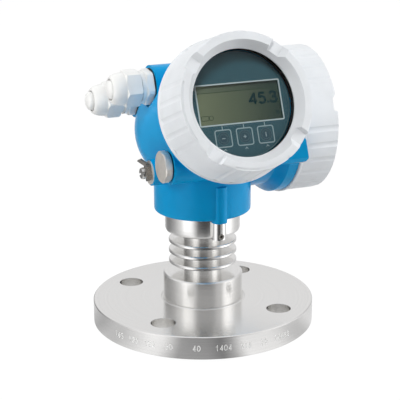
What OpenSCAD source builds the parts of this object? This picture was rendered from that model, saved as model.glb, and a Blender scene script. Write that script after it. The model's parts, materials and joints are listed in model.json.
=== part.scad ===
/* [Process connection] */
// Outer diameter of the flange
flange_d = 165; // [155:1:180]
// Thickness of the flange plate
flange_t = 17; // [15:0.5:22]
// Bolt circle diameter
bolt_pcd = 125; // [123:1:130]
// Bolt hole diameter
bolt_d = 18; // [14:0.5:20]
// Number of bolt holes
bolt_count = 4; // [4:4:8]
// Turn of the first bolt hole from the +X axis
bolt_turn = 40.35; // [0:0.5:45]
// Diameter of the sealing face
face_d = 102; // [92:1:104]
// Thickness of the antenna disc below the flange
face_t = 3; // [2:0.5:5]
// Edge chamfer of the flange
flange_chamfer = 0.6; // [0.2:0.1:1.5]

/* [Neck] */
// Outer diameter of the neck's socket
socket_d = 59.3; // [56:0.5:66]
// Height of the socket above the flange
socket_h = 20.3; // [14:0.5:26]
// Outer diameter of the cooling fins
fin_d = 50.6; // [49:0.2:54]
// Diameter of the neck between the fins
groove_d = 45.8; // [45:0.2:48]
// Height of the lowest groove
first_groove_h = 7.7; // [4:0.1:10]
// Distance from one fin to the next
fin_pitch = 8; // [6:0.1:10]
// Thickness of a fin
fin_t = 2.6; // [1.5:0.1:4]
// Number of cooling fins
fin_count = 3; // [2:1:4]
// Height of the groove above the last fin
last_groove_h = 6.1; // [4:0.1:9]
// Bore of the neck
neck_bore_d = 26; // [22:0.5:28]
// Diameter of the swivel spigot on the neck
spigot_d = 43; // [40:0.5:44]

/* [Collar] */
// Outer diameter of the steel collar
collar_d = 55.7; // [54:0.1:62]
// Visible height of the collar
collar_h = 16.5; // [12:0.1:22]
// Radius of the lug on the collar and on the skirt
lug_r = 5.7; // [4:0.1:8]
// Diameter of the securing screw
set_screw_d = 4; // [3:0.5:5]

/* [Housing] */
// Height of the display axis above the collar where it crosses the neck axis
head_rise = 64.1; // [62:0.5:75]
// Tilt of the display from the vertical
head_tilt = 22.25; // [15:0.25:30]
// Outer diameter of the skirt
skirt_d = 71.6; // [68:0.2:76]
// Diameter of the display compartment
shell_d = 86; // [84:0.5:90]
// Wall of the castings
wall = 3.5; // [2.5:0.1:4]
// Diameter of the terminal compartment
term_d = 96; // [92:0.5:98]
// Distance of the terminal axis behind the neck axis
term_back = 14.9; // [12:0.1:18]
// Bore of the gland threads
gland_thread_d = 20; // [16:0.5:22]
// Diameter of the bosses round the gland threads
gland_boss_d = 30.4; // [26:0.2:32]
// Depth of the gland face inside the side of the display compartment
gland_face_in = 6.5; // [4:0.1:9]
// Height of the glands above the display axis
gland_v = 29.8; // [27:0.1:32]
// Distance from one gland to the other
gland_pitch = 40; // [36:0.5:44]
// Place of the front gland along the display axis
gland_front_a = 3.5; // [0:0.5:8]
// Diameter of the boss that carries the earth terminal
earth_boss_d = 19; // [17:0.2:22]
// Height of the earth boss over the side of the display compartment
earth_boss_out = 3.8; // [1:0.2:7]

/* [Covers] */
// Distance from the neck axis to the seat of the display cover
display_seat_a = 49.6; // [48:0.1:54]
// Step from the display compartment out to the thread of its cover
display_thread_step = 3.8; // [3.4:0.1:4.5]
// Wall of the display cover over its thread
display_rim_w = 4.5; // [4.3:0.1:6]
// Length of the display cover
display_cover_h = 37.1; // [36:0.1:41]
// Draft of the display cover's side from its rear rim to its front ridge
display_draft = 3.6; // [1:0.1:4]
// Depth of the window below the front ridge
window_depth = 6.5; // [4:0.1:7]
// Diameter of the window opening
window_d = 74; // [70:0.5:76]
// Thickness of the window glass
glass_t = 4; // [3:0.2:5]
// Distance from the neck axis to the seat of the terminal cover
term_seat_x = 61.7; // [60:0.1:66]
// Step from the terminal compartment out to the thread of its cover
term_thread_step = 2; // [1.5:0.1:3]
// Wall of the terminal cover over its thread
term_rim_w = 5; // [4.8:0.1:7]
// Length of the terminal cover
term_cover_h = 29.3; // [28.5:0.1:36]
// Depth of the spanner notches in the covers
notch_depth = 3.4; // [1.5:0.1:4]
// Width of the spanner notches in the covers
notch_w = 13.8; // [8:0.2:16]
// Number of shallow grip grooves between two notches
grip_count = 5; // [2:1:6]
// Depth of the grip grooves
grip_depth = 0.6; // [0.3:0.1:1]

/* [Display] */
// Depth of the display face below the cover lip
display_sink = 7.7; // [6.5:0.1:9]
// Width of the liquid crystal panel
lcd_w = 61.1; // [50:0.5:62]
// Height of the liquid crystal panel
lcd_h = 27; // [22:0.5:29]
// Height of the panel centre above the display axis
lcd_v = 1.2; // [0:0.1:3]
// Side of one key field
key_s = 11.6; // [9:0.2:13]
// Distance from one key to the next
key_pitch = 15.6; // [14:0.2:18]
// Distance of the keys below the display axis
key_v = 21.9; // [19:0.1:23]

/* [Glands] */
// Width across the flats of the glands
gland_af = 24; // [22:0.5:25]
// Height of the gland's base hexagon
gland_hex_h = 5.5; // [4:0.2:8]
// Length of the gland's cap nut
cap_h = 20.5; // [18:0.5:24]
// Opening in the cap nut
cap_hole_d = 15.4; // [13:0.2:17]
// Diameter of the blanking plug
plug_d = 13.6; // [11:0.2:14]

/* [Clearances] */
// Gap between pieces that move past each other
gap = 0.3; // [0.2:0.05:0.4]
// Gap between pieces that are fixed in each other
fit = 0.05; // [0.02:0.01:0.1]

/* [Hidden] */
$fn = 96;
eps = 0.01;

blue = [0.0, 0.52, 0.76];
pale = [0.87, 0.88, 0.90];
steel = [0.74, 0.75, 0.76];
dark_steel = [0.45, 0.46, 0.48];
white_plastic = [0.93, 0.94, 0.95];
black = [0.08, 0.08, 0.09];
slate = [0.20, 0.28, 0.33];

// Heights along the neck, from the sealing face up
flange_top = face_t + flange_t;
socket_top = flange_top + socket_h;
fins_z = socket_top + first_groove_h;
neck_top = fins_z + (fin_count - 1) * fin_pitch + fin_t + last_groove_h;
collar_z = neck_top + gap;
skirt_z = neck_top + collar_h;
head_z = skirt_z + head_rise;
spigot_top = skirt_z + 17;

// Weld spigot of the neck in the flange
weld_d = 48;
weld_depth = 12;
// Waveguide in the neck and the taper of the lens in it
guide_wall = 2.5;
guide_d = neck_bore_d - 2 * fit;
guide_top = skirt_z - 8;
lens_taper_h = 34;
lens_oring_r = 1.1;
lens_groove_r = neck_bore_d / 2 - 2 * lens_oring_r - 0.05;
// Swivel joint in the collar
collar_spigot_d = 52;
collar_spigot_h = 13;
clip_t = 1.5;
swivel_oring_r = 1.3;
swivel_oring_z = skirt_z + 5;

// Display compartment: partition, bore and lip
partition_a = 16;
partition_t = 3.5;
shell_r = shell_d / 2;
bore_r = shell_r - wall;
display_thread_d = shell_d + 2 * display_thread_step;
display_cover_d = display_thread_d + 2 * display_rim_w;
lip_t = 10;
display_thread_h = 17;
display_lip_r = display_cover_d / 2 - 1.2;
// Rear of the shell: a long flank arc and a tighter corner arc
flank_r = 55;
flank_turn = 19;
back_corner_r = 10;

// Terminal compartment
term_r = term_d / 2;
term_thread_d = term_d + 2 * term_thread_step;
term_cover_d = term_thread_d + 2 * term_rim_w;
term_bore_r = term_r - wall;
term_lip_r = term_cover_d / 2 - 1;
term_thread_h = 18;
term_left_x = -2;
term_floor_x = 8;
term_wall_x = term_seat_x - 15;

// Cover sections
cover_bead_t = 2.6;
bead_step = 0.6;
term_draft = 0.6;
ridge_w = 5.9;
ridge_step_w = 1.9;
ridge_step_h = 0.5;
display_front_a = display_seat_a + gap + display_cover_h;
window_a = display_front_a - window_depth;
window_lip = 1.4;
gasket_t = 0.6;
glass_a = window_a - window_lip - gasket_t;
retainer_t = 3.2;
retainer_d = window_d + 9;
display_face_a = window_a - display_sink;
cover_oring_r = 1.2;
cover_oring_off = 3.4;
term_front_x = term_seat_x + gap + term_cover_h;
notch_turn = 49.7;
term_notch_turn = 0;
notch_ramp_w = 4;
notch_reach = 2.6;
notch_wall_w = 1.2;
grip_pitch = 12.8;
grip_r = 5;
face_drop = 2.6;
// Start of a cover's round, clear of its notches and grooves
seam_turn = 13;

// Display module and electronics
module_r = window_d / 2;
lcd_sink = 1.5;
lcd_t = 2.3;
retainer_lip = 1.2;
module_seat_a = partition_a + partition_t;
electronics_r = bore_r - 1;
electronics_front_a = module_seat_a + 27;
key_depth = 1.2;

// Terminals
block_w = 46;
block_h = 17;
block_t = 15;
block_v = -6;
terminal_count = 4;
terminal_pitch = 10;
terminal_screw_d = 5;
earth_in_v = -26;

// Gland stations from the boss face outward
gasket_gland_t = 1;
collar_gland_h = 3.5;
gland_cap_z = gasket_gland_t + gland_hex_h + collar_gland_h;
gland_male_h = 9;
gland_r = gland_af / 2 / cos(30);
gland_male_r = gland_thread_d / 2 - 0.1;
gland_neck_r = 10.4;
gland_seal_r = 8.2;
plug_pin_r = 4.6;
rear_cap_out = 2.4;
rear_plug_out = 1.6;
front_plug_out = 0;
gland_rear_a = gland_front_a - gland_pitch;
gland_face_x = shell_r - gland_face_in;

// Earth terminal and blind plug
earth_a = 5;
earth_face_x = shell_r + earth_boss_out;
earth_v = -32;
earth_screw_d = 5;
blind_a = 27;
blind_v = -31.4;
blind_face_x = shell_r - 2.5;
blind_d = 16;
blind_head_r = 11.3;
blind_af = 21.4;
blind_boss_r = 13;

// Locking lug
wing_a = 38;
wing_t = 8;
wing_x = 58.3;
wing_v = -40.6;
wing_h = 19;
lock_screw_d = 4;

// ---- Frames: a runs along the display axis, v up across it ----
module head() {
    translate([0, 0, head_z]) rotate([-head_tilt, 0, 0]) children();
}
// z runs along the display axis, y up across it
module on_display(a = 0) {
    head() rotate([90, 0, 0]) translate([0, 0, a]) children();
}
// z runs along +X, round the terminal axis
module on_terminal(x = 0) {
    head() translate([x, term_back, 0]) rotate([0, 90, 0]) children();
}
// z runs along -X from the given station
module to_left(x, a, v) {
    head() translate([-x, -a, v]) rotate([0, -90, 0]) children();
}
module tube(r, ri, h) {
    difference() {
        cylinder(r = r, h = h);
        translate([0, 0, -eps]) cylinder(r = ri, h = h + 2 * eps);
    }
}
module oring(r_mid, r_cord, z) {
    translate([0, 0, z]) rotate_extrude() translate([r_mid, 0]) circle(r = r_cord, $fn = 32);
}
module hex(af, h) {
    cylinder(r = af / 2 / cos(30), h = h, $fn = 6);
}
// Hexagon whose corners are turned off by a cone at the far end
module chamfered_hex(af, h, c) {
    intersection() {
        hex(af, h);
        rotate_extrude() polygon([[0, 0], [af / 2 + c, 0], [af / 2 + c, h - c],
            [af / 2, h], [0, h]]);
    }
}
function arc(cx, cy, r, from, to, n) =
    [for (i = [0:n]) let (t = from + (to - from) * i / n) [cx + r * cos(t), cy + r * sin(t)]];

// ---- Process connection ----
module process_flange() {
    color(steel) difference() {
        rotate_extrude() polygon([[0, face_t], [flange_d / 2 - flange_chamfer, face_t],
            [flange_d / 2, face_t + flange_chamfer], [flange_d / 2, flange_top - flange_chamfer],
            [flange_d / 2 - flange_chamfer, flange_top], [0, flange_top]]);
        for (i = [0:bolt_count - 1])
            rotate(bolt_turn + i * 360 / bolt_count) translate([bolt_pcd / 2, 0, face_t - eps])
                cylinder(d = bolt_d, h = flange_t + 2 * eps);
        translate([0, 0, flange_top - weld_depth]) cylinder(d = weld_d, h = weld_depth + eps);
        translate([0, 0, face_t - eps]) cylinder(d = neck_bore_d, h = flange_t);
        rotate_extrude() translate([socket_d / 2 + 1.2, flange_top]) circle(r = 0.8, $fn = 24);
    }
}

module antenna_lens() {
    color(white_plastic) rotate_extrude() polygon([[0, 0], [face_d / 2 - 0.5, 0],
        [face_d / 2, 0.5], [face_d / 2, face_t], [neck_bore_d / 2 - gap, face_t],
        [neck_bore_d / 2 - gap, flange_top - weld_depth - gap - 3],
        [lens_groove_r, flange_top - weld_depth - gap - 3],
        [lens_groove_r, flange_top - weld_depth - gap],
        [guide_d / 2 - guide_wall - gap, flange_top - weld_depth],
        [1.5, flange_top - weld_depth + lens_taper_h], [0, flange_top - weld_depth + lens_taper_h]]);
}

module lens_seal() {
    color(black) oring(lens_groove_r + lens_oring_r + 0.02, lens_oring_r,
        flange_top - weld_depth - gap - 3 + lens_oring_r + 0.3);
}

module neck_section() {
    fin_edge = 0.6;
    polygon(concat([[neck_bore_d / 2, flange_top - weld_depth],
        [weld_d / 2 - fit, flange_top - weld_depth], [weld_d / 2 - fit, flange_top],
        [socket_d / 2, flange_top], [socket_d / 2, socket_top - 1],
        [socket_d / 2 - 1, socket_top], [groove_d / 2 + 1.4, socket_top],
        [groove_d / 2 + 1.4, fins_z]],
        [for (i = [0:fin_count - 1]) let (z = fins_z + i * fin_pitch) each
            [[fin_d / 2 - fin_edge, z], [fin_d / 2, z + fin_edge],
             [fin_d / 2, z + fin_t - fin_edge], [fin_d / 2 - fin_edge, z + fin_t],
             [groove_d / 2, z + fin_t],
             [groove_d / 2, i < fin_count - 1 ? z + fin_pitch : neck_top]]],
        [[spigot_d / 2, neck_top], [spigot_d / 2, spigot_top], [neck_bore_d / 2, spigot_top]]));
}

module neck() {
    color(steel) difference() {
        rotate_extrude() neck_section();
        // groove of the swivel O-ring
        translate([0, 0, swivel_oring_z - swivel_oring_r - 0.1]) tube(spigot_d / 2 + 1,
            spigot_d / 2 - 2 * swivel_oring_r, 2 * swivel_oring_r + 0.2);
        // groove of the retaining clip
        translate([0, 0, spigot_top - 1 - clip_t]) tube(spigot_d / 2 + 1, spigot_d / 2 - 1.2,
            clip_t);
    }
}

module waveguide() {
    color(steel) translate([0, 0, flange_top - weld_depth + fit])
        tube(guide_d / 2, guide_d / 2 - guide_wall, guide_top - flange_top + weld_depth - fit);
}

module coax_coupler() {
    color(dark_steel) {
        translate([0, 0, guide_top]) cylinder(d = guide_d, h = spigot_top - guide_top - 2);
        translate([0, 0, spigot_top - 2 - eps]) cylinder(r = 4, h = 4);
        translate([0, 0, spigot_top + 1]) cylinder(r = 1.5, h = 5);
        translate([0, 0, guide_top - 6]) cylinder(r = 1, h = 7);
    }
}

module swivel_oring() {
    color(black) oring(spigot_d / 2 - swivel_oring_r + 0.05, swivel_oring_r, swivel_oring_z);
}

module swivel_clip() {
    color(dark_steel) difference() {
        translate([0, 0, spigot_top - 1 - clip_t]) tube(spigot_d / 2 + 1.6, spigot_d / 2 - 1.1,
            clip_t);
        translate([0, 0, spigot_top - 4]) rotate(90) translate([0, -2.5, 0]) cube([60, 5, 6]);
    }
}

// ---- Collar and casting ----
module collar() {
    ri = spigot_d / 2 + 0.1;
    color(steel) difference() {
        union() {
            rotate_extrude() polygon([[ri, collar_z], [collar_d / 2 - 2, collar_z],
                [collar_d / 2 - 0.6, collar_z + 0.8], [collar_d / 2, collar_z + 2.5],
                [collar_d / 2, skirt_z], [collar_spigot_d / 2, skirt_z],
                [collar_spigot_d / 2, skirt_z + collar_spigot_h], [ri, skirt_z + collar_spigot_h]]);
            translate([0, -skirt_d / 2 + lug_r - 0.6, collar_z + 1.2])
                cylinder(r = lug_r - 0.4, h = skirt_z - collar_z - 1.2 - 2.4);
            translate([-lug_r + 0.4, -skirt_d / 2 + lug_r - 0.6, collar_z + 1.2])
                cube([2 * lug_r - 0.8, skirt_d / 2 - lug_r - 24, skirt_z - collar_z - 3.6]);
        }
        translate([0, 0, collar_z + 4]) rotate([90, 0, 0]) cylinder(d = set_screw_d + 2 * fit, h = 60);
        translate([0, 0, collar_z - eps]) cylinder(r = ri, h = collar_h + collar_spigot_h + 1);
        // witness slot above the screw
        translate([-0.5, -skirt_d / 2 - 1, collar_z + 5]) cube([1, 1.5, skirt_z]);
    }
}

module securing_screw() {
    color(dark_steel) translate([0, -spigot_d / 2 - 0.15, collar_z + 4]) rotate([90, 0, 0])
        difference() {
            cylinder(d = set_screw_d, h = skirt_d / 2 - spigot_d / 2 - 0.4);
            translate([0, 0, skirt_d / 2 - spigot_d / 2 - 2.6]) hex(2, 4);
        }
}

// Outline of the round shell about the display axis, shrunk by the inset
module shell_section(inset, a_front) {
    r = shell_r - inset;
    fr = flank_r - inset;
    cr = back_corner_r - inset;
    cx = shell_r - flank_r;
    flank_a = -18;
    // end of the flank arc, where the corner arc goes on with the same slope
    kx = cx + (flank_r - back_corner_r) * cos(flank_turn);
    ka = flank_a - (flank_r - back_corner_r) * sin(flank_turn);
    back = ka - back_corner_r;
    polygon(concat([[0, a_front], [r, a_front]],
        arc(cx, flank_a, fr, 0, -flank_turn, 8),
        arc(kx, ka, cr, -flank_turn, -90, 8),
        [[0, ka - cr]]));
}

module display_shell() {
    on_display() rotate_extrude() {
        shell_section(0, display_seat_a - 1);
        polygon([[0, display_seat_a - lip_t], [shell_r - 1, display_seat_a - lip_t - 6],
            [shell_r, display_seat_a - lip_t - 5], [display_lip_r - 1, display_seat_a - lip_t + 4],
            [display_lip_r, display_seat_a - lip_t + 5.5], [display_lip_r, display_seat_a],
            [display_thread_d / 2, display_seat_a],
            [display_thread_d / 2, display_seat_a + display_thread_h - 1],
            [display_thread_d / 2 - 1, display_seat_a + display_thread_h],
            [0, display_seat_a + display_thread_h]]);
    }
}

module terminal_shell() {
    on_terminal() rotate_extrude()
        polygon(concat([[0, term_left_x]],
            arc(term_r - 14, term_left_x + 14, 14, -90, 0, 8),
            [[term_r, term_seat_x - 15], [term_r + 1.2, term_seat_x - 13],
            [term_lip_r - 1.2, term_seat_x - 9.5], [term_lip_r, term_seat_x - 7.5],
            [term_lip_r, term_seat_x], [term_thread_d / 2, term_seat_x],
            [term_thread_d / 2, term_seat_x + term_thread_h - 1],
            [term_thread_d / 2 - 1, term_seat_x + term_thread_h],
            [0, term_seat_x + term_thread_h]]));
}

module skirt() {
    rotate_extrude() polygon(concat([[0, skirt_z]],
        arc(skirt_d / 2 - 1.6, skirt_z + 1.6, 1.6, -90, 0, 5),
        [[skirt_d / 2, head_z - 25.5], [0, head_z - 25.5]]));
    // half-round lug of the securing screw
    translate([0, -skirt_d / 2 + lug_r - 1.8, skirt_z - 2]) cylinder(r = lug_r, h = 27);
}

module bosses() {
    to_left(0, gland_front_a, gland_v) cylinder(d = gland_boss_d, h = gland_face_x);
    to_left(-12, gland_rear_a, gland_v) cylinder(d = gland_boss_d, h = gland_face_x + 12);
    to_left(18, earth_a, earth_v) cylinder(d = earth_boss_d, h = earth_face_x - 18);
    to_left(14, blind_a, blind_v) cylinder(r = blind_boss_r, h = blind_face_x - 14);
}

module locking_lug() {
    head() translate([0, -wing_a, 0]) rotate([90, 0, 0]) difference() {
        linear_extrude(wing_t) polygon([[16, wing_v + wing_h], [wing_x - 2, wing_v + wing_h],
            [wing_x, wing_v + wing_h - 4], [wing_x, wing_v + 1.5], [wing_x - 1.5, wing_v], [16, wing_v]]);
        // bevel along the lower edge
        translate([0, wing_v, wing_t]) rotate([45, 0, 0]) cube([200, 3.4, 3.4], center = true);
    }
}

// Space behind the partition, shared by the terminals and the cable entries
module rear_space() {
    intersection() {
        union() {
            on_display() rotate_extrude() shell_section(wall, partition_a);
            on_terminal(term_floor_x) cylinder(r = term_bore_r, h = term_wall_x - term_floor_x);
        }
        on_display(partition_a - 100) cylinder(r = 200, h = 100);
    }
    on_terminal(term_wall_x - eps) cylinder(r = term_bore_r, h = 60);
}

module housing() {
    color(blue) difference() {
        union() {
            display_shell();
            terminal_shell();
            skirt();
            bosses();
            locking_lug();
        }
        on_display(partition_a + partition_t) cylinder(r = bore_r, h = 80);
        rear_space();
        // bore of the skirt, for the collar and the neck
        translate([0, 0, skirt_z - 3]) cylinder(d = collar_spigot_d + 2 * fit, h = collar_spigot_h + 3);
        translate([0, 0, skirt_z]) cylinder(r = spigot_d / 2 + 2.2, h = 22);
        translate([0, 0, skirt_z + 10]) cylinder(r = 17, h = 30);
        // clearance of the collar below the skirt's lug
        translate([0, 0, skirt_z - 5]) cylinder(d = collar_d + 2 * fit, h = 5);
        for (a = [gland_front_a, gland_rear_a]) to_left(-8, a, gland_v)
            cylinder(d = gland_thread_d, h = gland_face_x + 9);
        // spot faces under the glands
        for (a = [gland_front_a, gland_rear_a]) to_left(gland_face_x, a, gland_v)
            cylinder(r = gland_r + 0.6, h = 14);
        to_left(earth_face_x - 10, earth_a, earth_v) cylinder(d = earth_screw_d, h = 12);
        to_left(blind_face_x - 12, blind_a, blind_v) cylinder(d = blind_d, h = 14);
        // feedthrough in the partition
        on_display(partition_a - 1) translate([0, 12, 0]) cylinder(r = 8, h = partition_t + 2);
        // screw in the locking lug
        on_display(wing_a - 1) translate([wing_x - 6, wing_v + 9, 0])
            cylinder(d = lock_screw_d, h = 7);
    }
}

// ---- Electronics and display ----
module rf_module() {
    z0 = spigot_top + 7.5;
    color(dark_steel) difference() {
        union() {
            translate([0, 0, z0]) cylinder(r = 14, h = 12);
            translate([0, 0, spigot_top + 2.6]) cylinder(r = 4.5, h = 6);
            // mounting ring that rests on the step of the bore
            translate([0, 0, skirt_z + 22 - 1.6]) cylinder(r = 18.5, h = 1.6);
        }
        translate([0, 0, spigot_top + 2]) cylinder(r = 1.6, h = 5);
    }
}

module electronics_module() {
    color([0.62, 0.63, 0.65]) on_display(module_seat_a) difference() {
        union() {
            cylinder(r = electronics_r, h = electronics_front_a - module_seat_a);
            translate([0, 0, electronics_front_a - module_seat_a - eps])
                cylinder(r = electronics_r - 6, h = 3);
        }
        // grip recesses on both sides
        for (side = [-1, 1]) translate([side * (electronics_r - 2), 0, 10])
            cylinder(r = 5, h = 30);
        // pocket over the feedthrough
        translate([0, 12, -eps]) cylinder(r = 9, h = 4);
    }
}

module feedthrough() {
    color(black) on_display(partition_a - 2.5) translate([0, 12, 0]) {
        cylinder(r = 9.5, h = 2.5);
        cylinder(r = 8 - fit, h = 2.5 + partition_t + 3);
    }
}

module display_module() {
    back_a = electronics_front_a + 3;
    color(slate) on_display(back_a) difference() {
        union() {
            cylinder(r = module_r - 2.5, h = display_face_a - back_a);
            translate([0, 0, display_face_a - back_a - 4]) cylinder(r = module_r, h = 4);
        }
        // seat of the panel
        translate([-lcd_w / 2 - fit, lcd_v - lcd_h / 2 - fit,
            display_face_a - back_a - lcd_sink - lcd_t])
            cube([lcd_w + 2 * fit, lcd_h + 2 * fit, lcd_sink + lcd_t + 1]);
        // seats of the key windows
        for (i = [-1:1]) translate([i * key_pitch, -key_v, display_face_a - back_a - key_depth])
            cylinder(r = key_s / 2 - 1.4, h = 2);
    }
}

module lcd_panel() {
    color([0.42, 0.46, 0.38]) on_display(display_face_a - lcd_sink - lcd_t)
        translate([-lcd_w / 2, lcd_v - lcd_h / 2, 0]) cube([lcd_w, lcd_h, lcd_t]);
}

module key_windows() {
    color(black) for (i = [-1:1]) on_display(display_face_a - key_depth)
        translate([i * key_pitch, -key_v, 0]) cylinder(r = key_s / 2 - 1.4 - fit, h = key_depth);
}

// ---- Terminals ----
module terminal_block() {
    color([0.15, 0.35, 0.25]) on_display(partition_a) mirror([0, 0, 1])
        difference() {
            translate([-4, block_v - block_h / 2, 0]) cube([block_w, block_h, block_t]);
            // step that the screws are reached from
            translate([-5, block_v - block_h / 2 - 1, block_t - 5]) cube([block_w + 2, 9, 6]);
            for (i = [0:terminal_count - 1]) translate([4 + i * terminal_pitch, 0, 0]) {
                // screw wells and wire entries
                translate([0, block_v - block_h / 4, 4]) cylinder(d = terminal_screw_d + 0.6, h = 20);
                translate([0, block_v - block_h / 2 - 1, 7]) rotate([-90, 0, 0])
                    cylinder(d = 3.6, h = 5);
            }
        }
}

module terminal_screws() {
    color(steel) for (i = [0:terminal_count - 1]) on_display(partition_a - 4)
        translate([4 + i * terminal_pitch, block_v - block_h / 4, 0]) mirror([0, 0, 1])
            difference() {
                cylinder(d = terminal_screw_d, h = 5);
                translate([-3, -0.5, 4.2]) cube([6, 1, 2]);
            }
}

module inner_earth_clamp() {
    color(steel) on_display(partition_a) translate([14, earth_in_v, 0]) mirror([0, 0, 1])
        difference() {
            translate([-5, -5, 0]) cube([10, 10, 1.6]);
            translate([0, 0, -1]) cylinder(d = 4.4, h = 4);
        }
}

module inner_earth_screw() {
    color(steel) on_display(partition_a) translate([14, earth_in_v, 0]) mirror([0, 0, 1])
        difference() {
            union() {
                cylinder(d = 4.3, h = 2);
                translate([0, 0, 1.6]) cylinder(d = 7.6, h = 3);
            }
            translate([-4, -0.6, 3.4]) cube([8, 1.2, 3]);
        }
}

// ---- Cable glands: z runs outward from the boss face ----
module gland_gasket() {
    color(black) tube(gland_r - 0.8, gland_thread_d / 2 + 0.05, gasket_gland_t);
}

module gland_body() {
    color(white_plastic) difference() {
        union() {
            translate([0, 0, -gland_male_h]) cylinder(r = gland_male_r, h = gland_male_h + eps);
            cylinder(r = gland_thread_d / 2, h = gasket_gland_t + eps);
            translate([0, 0, gasket_gland_t]) chamfered_hex(gland_af, gland_hex_h, 1.2);
            translate([0, 0, gasket_gland_t + gland_hex_h - eps])
                cylinder(r = gland_r - 2.1, h = collar_gland_h - 0.6);
            translate([0, 0, gasket_gland_t + gland_hex_h]) cylinder(r = gland_neck_r, h = 13);
        }
        translate([0, 0, -gland_male_h - 1]) cylinder(r = 6.5, h = 40);
        translate([0, 0, gasket_gland_t + gland_hex_h + 2]) cylinder(r = gland_seal_r + fit, h = 40);
    }
}

module gland_seal() {
    z0 = gasket_gland_t + gland_hex_h + 2;
    color([0.5, 0.52, 0.54]) translate([0, 0, z0]) tube(gland_seal_r, plug_pin_r + 0.1, 13.6);
}

// The blanking plug is held by a collar between the seal and the cap nut
module gland_plug(out) {
    color(white_plastic) rotate_extrude() polygon(concat(
        [[0, gland_cap_z], [plug_pin_r, gland_cap_z], [plug_pin_r, gland_cap_z + 13],
        [plug_d / 2, gland_cap_z + 13], [plug_d / 2, gland_cap_z + cap_h - 0.6 + out]],
        [for (i = [1:8]) let (t = i * 90 / 8) [plug_d / 2 * cos(t),
            gland_cap_z + cap_h - 0.6 + out + 3.4 * sin(t)]]));
}

module gland_cap() {
    hex_h = 11;
    dome_h = cap_h - hex_h;
    color(white_plastic) translate([0, 0, gland_cap_z]) difference() {
        union() {
            intersection() {
                hex(gland_af, hex_h);
                rotate_extrude() polygon([[0, 0], [gland_r - 0.8, 0], [gland_r, 0.8],
                    [gland_r, hex_h - 1], [gland_r - 1.6, hex_h], [0, hex_h]]);
            }
            rotate_extrude() polygon(concat([[0, hex_h - eps]],
                [for (i = [0:10]) let (t = i * 78 / 10)
                    [cap_hole_d / 2 + 0.2 +
                        (gland_af / 2 - cap_hole_d / 2 - 0.3) * cos(t),
                     hex_h + dome_h * sin(t) / sin(78)]],
                [[0, cap_h]]));
        }
        translate([0, 0, -eps]) cylinder(r = gland_neck_r + gap, h = 13);
        translate([0, 0, -eps]) cylinder(d = cap_hole_d, h = cap_h + 1);
    }
}

module front_gland() {
    to_left(gland_face_x, gland_front_a, gland_v) children();
}
module rear_gland() {
    to_left(gland_face_x, gland_rear_a, gland_v) children();
}

// ---- Blind plug, earth terminal and lock screw ----
module blind_plug() {
    color(steel) to_left(blind_face_x, blind_a, blind_v) {
        translate([0, 0, -9]) cylinder(r = blind_d / 2 - fit, h = 10 + eps);
        translate([0, 0, 1]) cylinder(r = blind_head_r - 0.6, h = 1);
        translate([0, 0, 2 - eps]) chamfered_hex(blind_af, 4, 0.6);
    }
}

module blind_plug_seal() {
    color(black) to_left(blind_face_x, blind_a, blind_v)
        tube(blind_head_r - 0.9, blind_d / 2 + fit, 1);
}

module earth_plate() {
    color(steel) to_left(earth_face_x, earth_a, earth_v)
        tube(earth_boss_d / 2 - 1, earth_screw_d / 2 + fit, 0.8);
}

module earth_clamp() {
    color(steel) to_left(earth_face_x + 0.8, earth_a, earth_v) difference() {
        union() {
            translate([-5.4, -6, 0]) cube([11, 12, 1.2]);
            // lip that keeps the wire under the clamp
            translate([-5.4, -6, 0]) cube([10, 1.1, 4.5]);
            translate([5.5, -4, 0]) rotate([0, -50, 0]) cube([7.5, 8, 1.1]);
        }
        translate([0, 0, -1]) cylinder(r = earth_screw_d / 2 + fit, h = 4);
    }
}

module earth_washer() {
    color(dark_steel) to_left(earth_face_x + 2, earth_a, earth_v)
        tube(4.6, earth_screw_d / 2 + fit, 1.4);
}

module earth_screw() {
    color(steel) to_left(earth_face_x, earth_a, earth_v) difference() {
        union() {
            translate([0, 0, -9]) cylinder(r = earth_screw_d / 2 - 0.02, h = 12.5);
            translate([0, 0, 3.4]) rotate_extrude() polygon([[0, 0], [4.2, 0], [4.2, 2.6],
                [3.7, 3.6], [0, 3.6]]);
        }
        translate([-0.6, -6, 5.6]) cube([1.2, 12, 2]);
    }
}

module lock_screw() {
    color(steel) on_display(wing_a + 6) translate([wing_x - 6, wing_v + 9, 0])
        mirror([0, 0, 1]) difference() {
            union() {
                cylinder(r = lock_screw_d / 2 - 0.02, h = 6 + eps);
                translate([0, 0, 6]) cylinder(r = 3.4, h = 1.6);
            }
            translate([0, 0, 5.4]) hex(2.5, 4);
        }
}

// ---- Covers ----
// Notch through the ridge: a ramp at one end and a steep wall at the other
module notch(r_front, z_front) {
    translate([r_front - ridge_w - notch_reach, 0, z_front]) rotate([90, 0, 90])
        linear_extrude(ridge_w + notch_reach + 5) polygon([
            [-notch_w / 2 - notch_ramp_w / notch_depth, 1],
            [-notch_w / 2 + notch_ramp_w, -notch_depth],
            [notch_w / 2 - notch_wall_w, -notch_depth],
            [notch_w / 2 + notch_wall_w / notch_depth, 1]]);
}
// Four notches, with shallow grip grooves and a low step on the ridge between them
module cover_cuts(r_rear, r_front, z_rear, z_front, turn) {
    side_h = z_front - z_rear - cover_bead_t;
    tilt = atan((r_rear - bead_step - r_front) / side_h);
    grip_span = (grip_count - 1) * grip_pitch;
    for (i = [0:3]) rotate(turn + i * 90) {
        notch(r_front, z_front);
        for (k = [0:grip_count - 1]) rotate(45 - grip_span / 2 + k * grip_pitch)
            translate([r_rear - bead_step + grip_r - grip_depth, 0, z_rear + cover_bead_t + 1])
                rotate([0, -tilt, 0]) cylinder(r = grip_r, h = side_h + 2);
        rotate(45 - grip_span / 2) translate([0, 0, z_front - ridge_step_h])
            rotate_extrude(angle = grip_span) translate([r_front - ridge_step_w, 0])
                square([ridge_step_w + 3, ridge_step_h + 1]);
    }
}
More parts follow.
